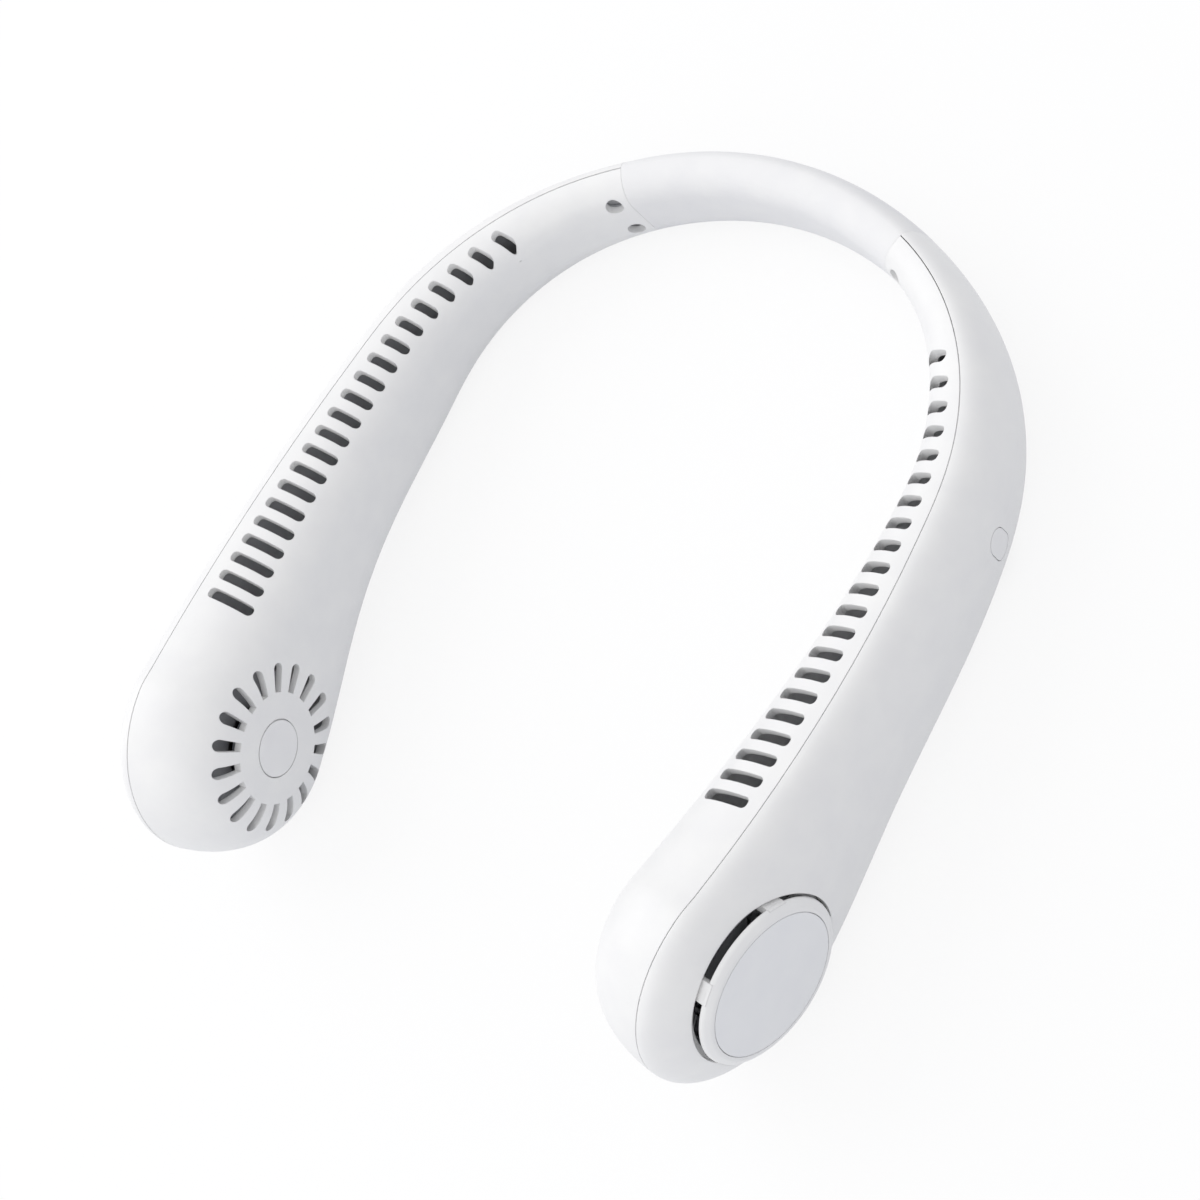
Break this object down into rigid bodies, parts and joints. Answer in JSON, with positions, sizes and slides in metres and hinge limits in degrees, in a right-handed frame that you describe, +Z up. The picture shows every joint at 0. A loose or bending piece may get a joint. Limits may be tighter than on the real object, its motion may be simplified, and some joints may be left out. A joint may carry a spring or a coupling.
{
  "type": "neck fan",
  "caption": "Bladeless neck fan: two hollow arms with a blower in each round end, air slots on top and a soft band over the nape.",
  "frame": {"origin": "middle of the footprint, on the table plane that the fan lies on", "axes": "+Z up, -Y from the nape towards the round ends, +X towards the wearer's left arm with the power button"},
  "size_m": [0.2042, 0.2259, 0.0614],
  "materials": {
    "white_shell": "satin moulded",
    "grey_trim": "satin moulded",
    "white_trim": "satin moulded",
    "inner_plastic": "moulded, pale grey",
    "plated_steel": "nickel plated",
    "ferrite": "sintered",
    "base_plate": "stamped",
    "winding": "enamelled copper on laminations",
    "bearing_bronze": "sintered bronze",
    "cell_foil": "foil pouch",
    "cable_sheath": "soft sheath",
    "soft_band": "matt silicone",
    "switch_plastic": "moulded",
    "board_green": "solder mask"
  },
  "bodies": {
    "neck_band": {"neck_band": "soft_band", "band_core_wires": "plated_steel", "band_cable": "cable_sheath"},
    "left_arm": {"left_inner_shell": "white_shell", "left_outer_shell": "white_shell", "left_inlet_cap": "white_shell", "left_cap_disc": "grey_trim", "left_grille_badge": "white_trim", "left_motor_base": "base_plate", "left_motor_stator": "winding", "left_motor_bearing": "bearing_bronze", "left_motor_screws": "plated_steel", "left_fan_scroll": "inner_plastic", "left_duct_plate": "inner_plastic", "left_battery": "cell_foil", "left_band_plug": "inner_plastic", "left_band_screws": "plated_steel", "left_motor_lead": "cable_sheath", "circuit_board": "board_green", "push_switch": "switch_plastic", "charging_socket": "plated_steel"},
    "left_rotor": {"left_impeller": "inner_plastic", "left_rotor_cup": "plated_steel", "left_rotor_magnet": "ferrite", "left_motor_shaft": "plated_steel"},
    "right_arm": {"right_inner_shell": "white_shell", "right_outer_shell": "white_shell", "right_inlet_cap": "white_shell", "right_cap_disc": "grey_trim", "right_grille_badge": "white_trim", "right_motor_base": "base_plate", "right_motor_stator": "winding", "right_motor_bearing": "bearing_bronze", "right_motor_screws": "plated_steel", "right_fan_scroll": "inner_plastic", "right_duct_plate": "inner_plastic", "right_battery": "cell_foil", "right_band_plug": "inner_plastic", "right_band_screws": "plated_steel", "right_motor_lead": "cable_sheath"},
    "right_rotor": {"right_impeller": "inner_plastic", "right_rotor_cup": "plated_steel", "right_rotor_magnet": "ferrite", "right_motor_shaft": "plated_steel"},
    "power_button": {"power_button": "white_trim"}
  },
  "joints": [
    {"name": "left_arm_flex", "type": "hinge", "parent": "neck_band", "child": "left_arm", "pos_m": [0.01698, 0.10653, 0.013], "axis": [0, 0, 1], "range_deg": [-12, 18], "stiffness_Nm_per_rad": 1.7, "deforming": ["neck_band", "band_core_wires", "band_cable"]},
    {"name": "left_fan_spin", "type": "hinge", "parent": "left_arm", "child": "left_rotor", "pos_m": [0.08683, -0.08258, 0.0307], "axis": [0.9869, -0.1611, 0], "continuous": true},
    {"name": "right_arm_flex", "type": "hinge", "parent": "neck_band", "child": "right_arm", "pos_m": [-0.01698, 0.10653, 0.013], "axis": [0, 0, -1], "range_deg": [-12, 18], "stiffness_Nm_per_rad": 1.7, "deforming": ["neck_band", "band_core_wires", "band_cable"]},
    {"name": "right_fan_spin", "type": "hinge", "parent": "right_arm", "child": "right_rotor", "pos_m": [-0.08683, -0.08258, 0.0307], "axis": [-0.9869, -0.1611, 0], "continuous": true},
    {"name": "power_button_press", "type": "slide", "parent": "left_arm", "child": "power_button", "axis": [-0.9941, -0.1085, 0], "range_m": [0, 0.0005], "stiffness_N_per_m": 1500}
  ]
}
